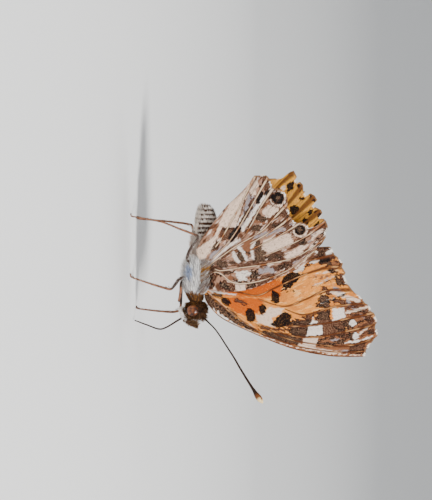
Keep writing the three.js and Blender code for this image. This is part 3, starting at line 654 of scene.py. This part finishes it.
HIND_UNDER = {
    "tan": [
        (0, (46, -34), (56, -35), (56, -19), (50, -18), (46, -26)), (2.6, (35, 3)),
        (1.6, (86, -1), (100, -7)), (1.5, (79, -19), (81, -21)),
        (1.4, (30, -57), (35, -54), (33, -62), (42, -56)), (0.8, (35, -69), (43, -69)),
        (1.6, (41, -62), (39, -51)), (1.4, (53, -76), (50, -63)), (1.8, (65, -98), (70, -99)),
        (2, (60, -53), (68, -52)), (1.8, (74, -72), (70, -65)), (1.2, (18, -39), (26, -53)),
    ],
    "orange": [(2.2, (112, -46), (108, -51)), (1.4, (120, -48), (112, -39))],
    "grey": [
        (3, (66, -3), (79, -4)), (1.5, (94, -9), (107, -19)), (1.2, (122, -43), (113, -32)),
        # Of the grey marks from here on, those from (14, -10) and (16, -18) up to (51, -79) are painted
        # shade in the valley of the fold near the inner margin.
        (2.8, (16, -18), (29, -26)), (0, (51, -79), (60, -78), (58, -67), (50, -53), (44, -52), (48, -65)),
        (1.8, (58, -68), (47, -51), (44, -47)), (1.9, (60, -38), (78, -42), (96, -49)),
        # The last grey mark, from (3, -13) to (9, -18), is painted shade where the wing root meets the
        # abdomen.
        (1.6, (14, -10), (26, -19)), (2.2, (3, -13), (9, -18)),
    ],
    "brown": [
        (4.4, (12, 2), (17, 4)), (5.2, (15, 10)), (3, (18, -5), (26, -7)), (2.4, (44, -8), (58, -12)),
        (1.6, (44, 0), (50, 2)), (2.5, (66, 3), (76, 1)), (4.8, (28, 11), (35, 13)), (2, (64, 9), (76, 4)),
        (3.2, (81, -6), (94, -10)), (0, (71, -19), (84, -25), (92, -18), (82, -12), (71, -12)),
        (0.9, (80, -29), (84, -35)), (1.5, (94, -12), (104, -17), (112, -24)),
        (2.4, (115, -47), (105, -35), (96, -28)), (1.6, (131, -39), (122, -29)),
        (0, (25, -46), (40, -48), (35, -35), (25, -33)), (1.2, (49, -78), (46, -63), (41, -49)),
        (2.2, (57, -75), (54, -67)), (3.6, (69, -96), (72, -88)), (3, (80, -59), (88, -63), (92, -55)),
        (3.2, (74, -48), (88, -51), (95, -45)), (2.4, (76, -63), (82, -66)), (2.2, (26, -17), (35, -24)),
        (9.4, (81.8, -76)), (8.7, (104.3, -44.2)), (0.9, (33, -78), (42, -76)),
        (1, (26, -64), (34, -62), (39, -67)),
    ],
    "dark": [
        (2.6, (11, 2), (15, 5)), (1.3, (12, 13), (15, 6), (18, 12)), (3.8, (24, -11), (29, -9)),
        (2, (35, -12), (39, -11)), (0, (42, -25), (45, -25), (51, -14), (47, -11), (41, -15)),
        (1.2, (49, -22), (54, -21)), (0, (59, -32), (63, -35), (72, -21), (70, -12), (58, -11)),
        (0, (27, -3), (39, -3), (37, 0.5), (30, 0.5)), (1.4, (21, -2), (26, 1)), (1.4, (38, 7), (56, 8)),
        (0, (55, -4), (62, -6), (62, 5), (55, 6)), (2.4, (26, 10), (33, 14)),
        (0, (51, 9), (61, 7), (60, 13), (51, 15)), (1.8, (83, -7), (93, -9)),
        (2.2, (73, -16), (76, -19), (85, -17)), (1, (102, -10), (114, -21)), (3.4, (102, -54)),
        (2.4, (93, -56)), (1.1, (130, -46), (124, -37), (118, -29)), (1.6, (28, -46), (39, -47)),
        (0, (13, -34), (23, -36), (23, -24), (14, -23)), (1.2, (56, -88), (62, -89), (67, -87)),
        # The two dark marks on the next line are painted shade deep in that fold near the inner margin.
        (2.6, (55, -67), (50, -58), (45, -53)), (2, (26, -23), (33, -32)),
        (0.9, (50, -44), (66, -70), (77, -85)), (0.8, (16, -7), (36, -28), (47, -37)),
        (0, (61, -63), (68, -58), (75, -55), (66, -52), (58, -56)),
        (0, (58, -50), (70, -49), (64, -43), (55, -43)), (1.8, (78, -48), (88, -50)),
        (1.8, (12, -6), (20, -13)), (6, (82, -76.2)), (5.2, (104.2, -44.4)), (4.2, (107, -31.7)),
        (1.2, (4, -10), (9, -13)),
    ],
    "cream": [
        (0, (40, 10.5), (50, 10), (50, 17), (41, 17)),
        (0, (66, -25), (68, -34), (94, -41), (98, -31), (74, -21)),
        (0, (88, -18), (104, -29), (113, -30), (104, -19), (91, -14)), (1.2, (100, -7), (113, -19)),
        (0.9, (93, -56)), (1.4, (126, -45), (116, -35)),
        (0, (0, -13), (-1, -23), (19, -37), (26, -57), (36, -73), (51, -86), (47, -70), (40, -47),
         (26, -47), (22, -35), (9, -13)),
        (3, (58, -94), (60, -90), (54, -87), (58, -82)),
        (0, (66, -63), (72, -69), (85, -66), (74, -56), (68, -59)), (1.2, *ring_of(81.8, -76, 7.3)),
        (1.1, *ring_of(104.3, -44.2, 6.4)),
    ],
    "white": [
        (1.8, (38, -21), (40, -16), (43, -13)), (1.6, (43, -27), (47, -23), (51, -15)),
        (1.1, (59, -33), (56, -25), (57.5, -16)),
        (0, (40, -2), (51, -4), (56, -1), (50, 3), (53, 6), (43, 6.5)),
        (1.9, (47, -45), (60, -66), (68, -77), (76, -86)), (0.9, (9, -2), (32, -30), (47, -60)),
        (1.2, (20, -17), (32, -27), (44, -35)),
    ],
    "black": [
        (2, (65.5, -82), (62, -72)), (1.5, (73, -84), (69, -80)), (3.6, (42, -45), (36, -36)),
        (2, *ring_of(82.2, -76.4, 4.4)), (1.3, *ring_of(104.2, -44.4, 4)), (1.4, (107, -31.5)),
    ],
}
HIND_TONES = ("9C745C", "E0C8B8", "54321F", "E0C3A0", "9C5E34", "9A7C62")
hind_surface = scaled_surface("hindwing scales", WING_DULLNESS, scales, SCALE_RELIEF, Speckle=0.85,
                              **dict(zip(WING_TONES, map(colour, HIND_TONES))))
for (side, label), margin, ends in zip(SIDES, (WHOLE_MARGIN, WORN_MARGIN), ({}, WORN_ENDS)):
    hind_fan = wing_fan(HIND_LINES, margin, ends, WING_ROWS, WING_PARTS)
    build_wing("hindwing_" + label, hind_fan, HIND_LAYER, HIND_ROOT_DRAW, HIND_PLEAT, side, HIND_UNDER,
               hind_surface)

# Body skin.
# Horny plates under a coat of scales: abdomen, thorax and head in one closed skin, grooved between the
# rings of the abdomen. Stations give x, the height of the middle, half width and half height.
SKIN = [
    (-12.3, 1.38, 0.25, 0.3), (-11.9, 1.48, 0.6, 0.85), (-11.0, 1.66, 0.98, 1.4), (-9.6, 1.72, 1.24, 1.76),
    (-8.0, 1.58, 1.36, 1.88), (-6.4, 1.3, 1.4, 1.88), (-4.8, 1.0, 1.3, 1.72), (-3.6, 0.72, 1.05, 1.4),
    (-2.9, 0.48, 1.0, 1.3), (-1.8, 0.25, 1.32, 1.7), (-0.2, 0.05, 1.58, 2.05), (1.6, 0.0, 1.53, 2.05),
    (3.0, -0.05, 1.24, 1.68), (3.9, -0.1, 0.78, 1.1), (4.5, 0.0, 0.66, 1.05), (5.1, 0.08, 0.86, 1.45),
    (6.0, 0.1, 1.0, 1.76), (6.9, 0.1, 0.86, 1.5), (7.4, 0.1, 0.56, 1.0), (7.62, 0.1, 0.2, 0.35)]
SKIN_END = 0.12
SKIN_RINGS = 150
SKIN_SIDES = 48
SKIN_SAMPLES = 200
TAIL = -12.4
RING_FRONT = -4.5
RING_PITCH = 0.78
RING_GROOVE = 0.03
skin_table = np.array(SKIN)
skin_lines = [along(skin_table[:, [0, k]], np.linspace(0, 1, SKIN_SAMPLES))[0] for k in (1, 2, 3)]


def skin_station(x):
    """Height of the middle, half width and half height of the skin at x."""
    return [np.interp(x, line[:, 0], line[:, 1]) for line in skin_lines]


def drawn_out(rings, sides, spot, labels):
    """A ball drawn out into a long closed piece; spot(ring, angle) gives a place and its values."""
    ball = bmesh.new()
    bmesh.ops.create_uvsphere(ball, u_segments=sides, v_segments=rings + 1, radius=1)
    layers = [ball.verts.layers.float.new(label) for label in labels]
    for vertex in ball.verts:
        ring = round(math.acos(max(-1, min(1, vertex.co.z))) / math.pi * (rings + 1))
        angle = math.atan2(vertex.co.y, vertex.co.x)
        at, values = spot(ring, angle)
        vertex.co = place(*at)
        for layer, value in zip(layers, values):
            vertex[layer] = value
    bmesh.ops.recalc_face_normals(ball, faces=ball.faces[:])
    return ball


skin_xs = np.linspace(SKIN[0][0], SKIN[-1][0], SKIN_RINGS)
skin_rings = list(zip(skin_xs, *skin_station(skin_xs)))
skin_rings.insert(0, (SKIN[0][0] - SKIN_END, SKIN[0][1], 0, 0))
skin_rings.append((SKIN[-1][0] + SKIN_END, SKIN[-1][1], 0, 0))


def skin_spot(ring, angle):
    """Where a point of the skin lies, with x and the sine of its angle to be stored."""
    x, middle, wide, high = skin_rings[ring]
    groove = 1
    if x < RING_FRONT:
        groove -= RING_GROOVE * (0.5 + 0.5 * math.cos(2 * math.pi * (x - TAIL) / RING_PITCH)) ** 4
    up = math.sin(angle) if wide else 0
    return (x, wide * groove * math.cos(angle), middle + high * groove * up), (x, up)


def texture(tree, kind, **settings):
    """A texture laid out in the coordinates of the piece."""
    made = node(tree, kind, **settings)
    spot = tree.nodes.new("ShaderNodeTexCoord")
    tree.links.new(spot.outputs["Object"], made.inputs["Vector"])
    return made.outputs


# The group gives the abdomen pale and dark bands above a pale belly, then zones of one colour.
coat, _, coat_out = colour_group("body scales")
grain = texture(coat, "ShaderNodeTexNoise", Scale=4000.0, Detail=3.0)["Fac"]
body_x = attribute(coat, "body_x")
body_up = attribute(coat, "body_up")
wobble = times(maths("SUBTRACT", grain, 0.5), 1.2)
ring_angle = times(body_x, 2 * math.pi / RING_PITCH)
wave = maths("SINE", plus(ring_angle, wobble))
rings = ramp(wave, -0.1, 0.6)
flank = ramp(plus(body_up, times(wobble, 0.3)), -0.8, -0.5)
banded = mixed(rings, "452E23", "DDD0C2")
coat_colour = mixed(flank, "D9CCBE", banded)
COAT_ZONES = [(-6.4, -5.2, "CDBCB0"), (-3.4, -2.6, "B4B0B0"), (3.2, 4.2, "3A271B")]
for start, stop, code in COAT_ZONES:
    coat_colour = mixed(ramp(body_x, start, stop), coat_colour, code)
coat.links.new(coat_colour, coat_out["Color"])
coat.links.new(grain, coat_out["Height"])
COAT_RELIEF = 0.00006
skin_surface = scaled_surface("body skin", 0.8, coat, COAT_RELIEF)
mount(drawn_out(SKIN_RINGS, SKIN_SIDES, skin_spot, ("body_x", "body_up")), "body_skin", skin_surface,
      "body_fur", "thorax", "abdomen", "head")

# Fur of the body.
# Long hair-like scales: each tuft is one thin bent spike rooted in the skin, all copied from one cone.
# The map gives a tuft a small patch where its root lies on the unrolled skin.
TUFT_STOPS = [(0.0, 1.0), (0.5, 0.75), (0.82, 0.4), (1.0, 0.0)]
TUFT_SINK = 0.1
TUFT_BEND = (-0.35, 0, -0.1)
TUFT_PATCH = 0.0015
TUFT_SIDE = (0.31, 0.83, 0.46)
TINT_SPREAD = 0.25
MAP_EDGE = 0.02
MAP_SPAN = 0.96
MAP_LENGTH = 20.2
spike = bmesh.new()
bmesh.ops.create_cone(spike, cap_ends=True, segments=3, radius1=1, radius2=0, depth=1)
for height, _ in TUFT_STOPS[1:-1]:
    bmesh.ops.bisect_plane(spike, geom=spike.verts[:] + spike.edges[:] + spike.faces[:],
                           plane_co=(0, 0, height - 0.5), plane_no=(0, 0, 1))
spike.verts.index_update()
spike_turn, spike_height, spike_thick = [], [], []
for vertex in spike.verts:
    height = vertex.co.z + 0.5
    spike_height.append(height * (1 + TUFT_SINK) - TUFT_SINK)
    spike_turn.append(math.atan2(vertex.co.y, vertex.co.x))
    spike_thick.append(float(np.interp(height, *zip(*TUFT_STOPS))))
spike_faces = [[vertex.index for vertex in face.verts] for face in spike.faces]
fur_surface, fur_tree, fur_shader = surface("fur", 0.7)
fur_colour = node(fur_tree, "ShaderNodeAttribute", attribute_name="coat")
fur_tree.links.new(fur_colour.outputs["Color"], fur_shader.inputs["Base Color"])


def fur_piece(name, tufts):
    """One piece of tufts, each given as root, direction, length, width, colour and place on the map."""
    roots, directions, lengths, widths, tints, maps = (np.array(column) for column in zip(*tufts))
    directions = directions / np.linalg.norm(directions, axis=1)[:, None]
    sides = np.cross(directions, TUFT_SIDE)
    sides = sides / np.linalg.norm(sides, axis=1)[:, None]
    thirds = np.cross(directions, sides)
    turned = np.stack([np.cos(spike_turn), np.sin(spike_turn)], axis=1) * np.array(spike_thick)[:, None]
    across = turned[:, :1, None] * sides + turned[:, 1:, None] * thirds
    height = np.array(spike_height)[:, None, None]
    points = (roots + directions * lengths[:, None] * height + across * widths[:, None]
              + np.array(TUFT_BEND) * lengths[:, None] * np.maximum(height, 0) ** 2)
    points = (points.transpose(1, 0, 2).reshape(-1, 3) + SHIFT) / MM
    count = len(spike_height)
    faces = [[start + index for index in face] for start in range(0, count * len(tufts), count)
             for face in spike_faces]
    data = bpy.data.meshes.new(name)
    data.from_pydata(points.tolist(), [], faces)
    coats = data.color_attributes.new("coat", "FLOAT_COLOR", "POINT")
    coats.data.foreach_set("color", np.repeat(tints, count, axis=0).astype(np.float32).ravel())
    patches = (maps[:, None] + TUFT_PATCH * turned).reshape(-1, 2)
    loops = np.zeros(len(data.loops), np.int32)
    data.loops.foreach_get("vertex_index", loops)
    bake_map = data.uv_layers.new(name="OFBake")
    bake_map.data.foreach_set("uv", patches[loops].astype(np.float32).ravel())
    riding(name, data, fur_surface)


def tinted(*codes):
    """One of the colours, a little lighter or darker."""
    base = colour(random.choice(codes))
    gain = 1 + random.uniform(-TINT_SPREAD, TINT_SPREAD)
    return (base[0] * gain, base[1] * gain, base[2] * gain, 1.0)


def body_tuft(x, up, z):
    """Colour, length and width of a tuft at x along the body, at height z."""
    # The face, dark above and brown in front and below.
    if x > 5.6:
        front = x > 6.6
        codes = ("4A3322", "2E1E14") if up < 0.7 and not front else ("6E4C32", "3E2A1C", "54391F")
        return tinted(*codes), 1.35 if front else 0.65, 0.036
    # The collar.
    if x > 3.4:
        return tinted("6B4526", "8E5E2C", "4A3220", "3A2618"), 0.85, 0.04
    # The thorax, with a fawn back, a blue patch and grey-white flanks.
    if x > -2.6:
        if up > 0.45:
            return tinted("8A6A4A", "9C8468", "A9A29A"), 1.1, 0.042
        if ((x - 0.2) / 1.5) ** 2 + ((z + 0.95) / 0.75) ** 2 < random.uniform(0.5, 1.2):
            return tinted("8498C0", "A3AEC4", "C4C8D2"), 0.8, 0.04
        return tinted("E4E1DC", "CFCBC8", "F0ECE6", "B5B0AE"), 0.95, 0.042
    # The pale front of the abdomen, and its bands.
    if x > -6.2:
        return tinted("DCCDC2", "E8DCD2", "C8B6AA"), 0.75, 0.035
    wave = math.sin(2 * math.pi * x / RING_PITCH) + random.gauss(0, 0.4)
    pale = up < -0.62 + 0.3 * wave or wave > 0.1
    return tinted("E2DAD0", "D6C8BA") if pale else tinted("3A281F", "5A4032"), 0.42, 0.035


def skin_map(x, angle):
    """Where a point of the skin lies on its unrolled map."""
    across = (angle % (2 * math.pi)) / (2 * math.pi)
    return MAP_EDGE + MAP_SPAN * (x - TAIL) / MAP_LENGTH, MAP_EDGE + MAP_SPAN * across


def fewer(count):
    return count


# Fields of tufts between two x, with their count, and then the long tufts at the wing roots.
random.seed(11)
FUR_FIELDS = [(-2.9, 4.0, 3600), (4.0, 7.5, 1900), (-6.4, -2.9, 1200), (-12.2, -6.4, 1700)]
WING_BASE_TUFTS = 1500
tufts = []
for low_x, high_x, count in FUR_FIELDS:
    for _ in range(fewer(count)):
        x = random.uniform(low_x, high_x)
        angle = random.uniform(0, 2 * math.pi)
        # Few tufts grow where the eyes lie.
        on_eye = 5.3 < x < 7.2 and abs(math.sin(angle) + 0.25) < 0.55
        if on_eye and random.random() < 0.9:
            continue
        middle, wide, high = (float(value) for value in skin_station(x))
        root = (x, wide * math.cos(angle), middle + high * math.sin(angle))
        outward = Vector((0, math.cos(angle) / wide, math.sin(angle) / high)).normalized()
        tint, length, width = body_tuft(x, math.sin(angle), root[2])
        # They lean back on the body, stand up on the head and reach forward from the face.
        forward = -0.9 if x < 4.6 else 0.35 if x < 6.6 else 1.3
        lean = Vector((forward, random.uniform(-0.35, 0.35), random.uniform(-0.35, 0.35)))
        length *= random.uniform(0.7, 1.25)
        if x < 4 and math.sin(angle) > 0.3:
            length *= 0.7
        tufts.append((root, outward * 0.55 + lean * 0.8, length, width, tint, skin_map(x, angle)))
for _ in range(fewer(WING_BASE_TUFTS)):
    side = random.choice((-1, 1))
    x = random.uniform(-2.4, 3.4)
    root = (x, side * random.uniform(1.25, 1.75), random.uniform(0.7, 1.7))
    lean = Vector((-0.35 - 0.1 * x, side * 0.35, 1.0 + 0.15 * random.random()))
    if abs(x + 0.5) < 0.45:
        tint = tinted("A87430", "8A5A24", "6B4A30")
    elif x < 0.8:
        tint = tinted("6B4A30", "A98F74", "D8D2CA", "8E8A8C")
    else:
        tint = tinted("4A3020", "7A5232", "C4BCB2", "8E8A8C")
    tufts.append((root, lean, random.uniform(0.8, 1.5), 0.035, tint, skin_map(x, math.pi / 2 - side * 0.8)))
fur_piece("body_fur", tufts)

# Eyes.
# Hard domes of thousands of facets, dark and glossy with reddish brown patches, set into the sides of
# the head.
EYE_HALF_SIZE = (0.94, 0.62, 0.99)
EYE_MIDDLE = (6.3, 1.5, -0.45)
FINE_RELIEF = 0.00003
eye_surface, eye_tree, eye_shader = surface("eye", 0.3)
eye_shader.inputs["Coat Weight"].default_value = 0.2
eye_shader.inputs["Specular IOR Level"].default_value = 0.35
facets = texture(eye_tree, "ShaderNodeTexVoronoi", Scale=9000.0)["Distance"]
patches = texture(eye_tree, "ShaderNodeTexNoise", Scale=1500.0, Detail=2.0)["Fac"]
eye_colour = mixed(ramp(patches, 0.42, 0.7), "2C140C", "84481F")
dress(eye_tree, eye_shader, eye_colour, facets, 0.5, FINE_RELIEF)
for side, label in SIDES:
    dome = bmesh.new()
    bmesh.ops.create_uvsphere(dome, u_segments=40, v_segments=24, radius=1)
    for vertex in dome.verts:
        x, y, z = (middle + half * co for middle, half, co in zip(EYE_MIDDLE, EYE_HALF_SIZE, vertex.co))
        vertex.co = place(x, side * y, z)
    bmesh.ops.recalc_face_normals(dome, faces=dome.faces[:])
    mount(dome, "eye_ball_" + label, eye_surface, "eye", "eye_" + label)

# Palps.
# Two furred feelers of the mouth that curve up in front of the face, white-scaled below and brown at
# the tip. A limb is a round tube through stations of x, y, z and radius, coloured along its length.
PALP = [(5.6, 0.45, -2.2, 0.25), (6.1, 0.5, -2.55, 0.34), (7.3, 0.52, -2.1, 0.38),
        (8.35, 0.5, -0.95, 0.34), (8.85, 0.45, 0.35, 0.2)]
PALP_HAIRS = 1000
FLOOR_LEVEL = -10.9
ROOT_BULGE = 0.5
TIP_BULGE = 0.8
HAIR_DEPTH = 0.85
HAIR_CLEARANCE = 0.2


def tube(stations, steps, sides):
    """A closed round tube that ends at the floor, with its run and its share of the length stored."""
    dense = curve(stations, steps)
    path = [Vector(row[:3]) for row in dense]
    radii = [row[3] for row in dense]
    last = len(path) - 1
    tangents = [(path[min(i + 1, last)] - path[max(i - 1, 0)]).normalized() for i in range(len(path))]
    run = [0.0, *np.cumsum([(b - a).length for a, b in zip(path, path[1:])])]
    turned = tangents[0].orthogonal().normalized()
    turns = []
    for tangent in tangents:
        turned = (turned - tangent * turned.dot(tangent)).normalized()
        turns.append((turned, tangent.cross(turned)))

    def spot(ring, angle):
        """Where a point of the tube lies, with its run and share."""
        i = min(max(ring - 1, 0), last)
        if ring == 0:
            at = path[0] - tangents[0] * radii[0] * ROOT_BULGE
        elif ring > last + 1:
            at = path[last] + tangents[last] * radii[last] * TIP_BULGE
        else:
            at = path[i] + (turns[i][0] * math.cos(angle) + turns[i][1] * math.sin(angle)) * radii[i]
        return (at.x, at.y, max(at.z, FLOOR_LEVEL)), (run[i], run[i] / run[-1])

    return drawn_out(len(path), sides, spot, ("run", "share"))


def limb_surface(name, roughness, dark, pale, pitch, dark_share, zones):
    """Dark and pale bands of a given pitch, then zones of one colour between two shares of the length."""
    material, tree, shader = surface(name, roughness)
    speck = texture(tree, "ShaderNodeTexNoise", Scale=5000.0, Detail=2.0)["Fac"]
    wave = maths("FRACT", maths("DIVIDE", attribute(tree, "run"), pitch))
    wave = plus(wave, times(speck, 0.2))
    shown = mixed(ramp(wave, dark_share, dark_share + 0.15), dark, pale)
    shown = mixed(ramp(speck, 0.5, 0.75), shown, dark)
    for start, stop, code in zones:
        shown = mixed(ramp(attribute(tree, "share"), start, stop), shown, code)
    dress(tree, shader, shown, speck, 0.5, FINE_RELIEF)
    return material


def hairs_along(line, radii, count, first, last, kind):
    """Short hairs on a limb between two stations; kind(step, out) gives colour, length, spread, width."""
    hairs = []
    for _ in range(fewer(count)):
        step = random.uniform(first, last)
        k = int(step)
        a, b = Vector(line[k]), Vector(line[k + 1])
        ahead = (b - a).normalized()
        out = Vector([random.gauss(0, 1) for _ in range(3)])
        out = (out - ahead * out.dot(ahead)).normalized()
        tint, length, spread, width = kind(step, out)
        radius = radii[k] + (radii[k + 1] - radii[k]) * (step - k)
        root = a.lerp(b, step - k) + out * radius * HAIR_DEPTH
        if root.z + out.z * length > FLOOR_LEVEL + HAIR_CLEARANCE:
            hairs.append((tuple(root), ahead + out * spread, length, width, tint,
                          (0.03 + 0.1 * step, 0.1 + 0.8 * random.random())))
    return hairs


def palp_hair(step, out):
    """White scales below, longer brown hairs above and at the tip."""
    if step < 2.1 and out.z < 0.5:
        return tinted("EAE4DC", "DAD0C6"), random.uniform(0.3, 0.55), 0.5, 0.03
    return tinted("5A3F2A", "8A6A48", "3E2A1C"), random.uniform(0.45, 0.85), 1.1, 0.03


def mirrored(stations, side):
    """The stations of a limb on one side of the body."""
    return [(x, side * y, z, radius) for x, y, z, radius in stations]


palp_surface = limb_surface("palp", 0.7, "D8D0C6", "EFE9E2", pitch=0.3, dark_share=0.5,
                            zones=[(0.5, 0.6, "4A3020")])
for side, label in SIDES:
    stations = mirrored(PALP, side)
    palp = tube(stations, steps=8, sides=16)
    mount(palp, "palp_skin_" + label, palp_surface, "palp_scales", "palp_" + label)
    line, radii = [row[:3] for row in stations], [row[3] for row in stations]
    fur_piece("palp_fur_" + label, hairs_along(line, radii, PALP_HAIRS, 0, 3.99, palp_hair))

# Proboscis.
# The tongue, two half tubes zipped into one, let down from under the face to drink. It is bare, dark
# and finely ringed.
PROBOSCIS = [(7.0, 0, -1.6, 0.2), (7.9, 0, -3.1, 0.17), (9.0, 0, -4.9, 0.15), (9.4, 0, -6.3, 0.14),
             (8.7, 0, -8.4, 0.13), (7.9, 0, -10.55, 0.1)]
tongue_surface = limb_surface("tongue", 0.4, "2B1A13", "3A251A", pitch=0.2, dark_share=0.8,
                              zones=[(0.96, 1.0, "2B1A13")])
mount(tube(PROBOSCIS, steps=10, sides=14), "tongue", tongue_surface, "tongue", "proboscis")

# Feelers.
# Thin dark shafts of many short rings that end in a flat club, brown with a pale tip, held forward and
# apart.
FEELER = [(7.2, 0.5, 1.35, 0.2), (7.95, 0.7, 1.95, 0.16), (9.6, 1.2, 3.55, 0.11), (12.2, 2.0, 5.3, 0.1),
          (14.2, 2.6, 6.6, 0.1), (16.4, 3.2, 7.9, 0.11), (18.8, 3.8, 9.4, 0.14), (20.0, 4.1, 10.2, 0.22),
          (21.0, 4.35, 10.85, 0.42), (21.7, 4.55, 11.25, 0.34), (21.98, 4.6, 11.42, 0.16)]
feeler_surface = limb_surface("feeler", 0.5, "24170F", "4A3226", pitch=0.34, dark_share=0.85,
                              zones=[(0.9, 0.95, "6E3F20"), (0.955, 0.985, "E8C990")])
for side, label in SIDES:
    feeler = tube(mirrored(FEELER, side), steps=12, sides=16)
    mount(feeler, "feeler_" + label, feeler_surface, "feeler", "antenna_" + label)

# Forelegs.
# In this family the first pair is a short furred brush that is never walked on, folded up under the
# chest.
FORELEG = [(0.9, 0.55, -2.2, 0.2), (1.6, 0.55, -2.55, 0.22), (3.0, 0.6, -2.62, 0.22),
           (4.6, 0.6, -2.95, 0.14)]
leg_surface = limb_surface("leg", 0.5, "3A2519", "8C5E45", pitch=1.25, dark_share=0.14,
                           zones=[(0.35, 0.3, "43352E"), (0.975, 1.0, "3A2519")])
for side, label in SIDES:
    foreleg = tube(mirrored(FORELEG, side), steps=8, sides=12)
    mount(foreleg, "foreleg_skin_" + label, leg_surface, "leg", "foreleg_" + label)

# Walking legs.
# Middle and hind legs: a scaled grey-brown thigh, a thin reddish shin, and a foot of short joints that
# lies on the floor. Fine pale hairs cover the thigh and sparse dark ones the shin.
LEGS = {
    "midleg_right": [(0.4, -0.9, -1.8), (0.9, -1.6, -2.8), (1.7, -2.4, -3.3), (2.7, -3.1, -4.1),
                     (2.45, -3.5, -5.4), (2.0, -4.0, -7.0), (1.4, -4.6, -8.9), (1.0, -5.1, -10.2),
                     (0.7, -5.6, -10.78), (0.3, -6.6, -10.8)],
    "midleg_left": [(0.4, 0.9, -1.8), (1.2, 1.5, -2.6), (3.2, 2.2, -2.7), (5.6, 2.9, -2.9),
                    (6.2, 3.3, -3.9), (6.1, 3.8, -6.2), (5.8, 4.4, -8.8), (5.6, 4.8, -10.2),
                    (5.4, 5.3, -10.78), (5.0, 6.3, -10.8)],
    "hindleg_right": [(-2.0, -1.0, -1.1), (-2.8, -1.6, -1.4), (-4.3, -2.3, -0.85), (-6.3, -2.7, 0.55),
                      (-6.9, -3.0, -0.5), (-7.7, -3.5, -2.7), (-8.8, -4.1, -5.6), (-9.5, -4.7, -9.4),
                      (-9.7, -5.2, -10.78), (-10.0, -6.3, -10.8)],
    "hindleg_left": [(-2.0, 1.0, -1.1), (-2.8, 1.6, -1.4), (-5.4, 2.4, -0.9), (-8.6, 3.0, -0.8),
                     (-9.2, 3.3, -1.8), (-9.6, 3.8, -4.4), (-10.0, 4.4, -7.6), (-10.2, 4.8, -10.1),
                     (-10.4, 5.3, -10.78), (-10.8, 6.3, -10.8)]}
LEG_RADII = [0.26, 0.27, 0.26, 0.2, 0.2, 0.18, 0.15, 0.13, 0.12, 0.1]
LEG_HAIRS = 300


def leg_hair(step, out):
    """Pale hairs on the thigh, dark and shorter ones below it."""
    pale = step < 3 or random.random() < 0.2
    length = random.uniform(0.2, 0.42) * (1.2 if step < 3.5 else 0.7)
    return tinted("D9D2C8", "9C9088") if pale else tinted("4A3426"), length, 0.55, 0.022


for label, line in LEGS.items():
    stations = [(*point, radius) for point, radius in zip(line, LEG_RADII)]
    mount(tube(stations, steps=9, sides=14), label + "_skin", leg_surface, "leg", label)
    fur_piece(label + "_hair", hairs_along(line, LEG_RADII, LEG_HAIRS, 0.4, 8.5, leg_hair))
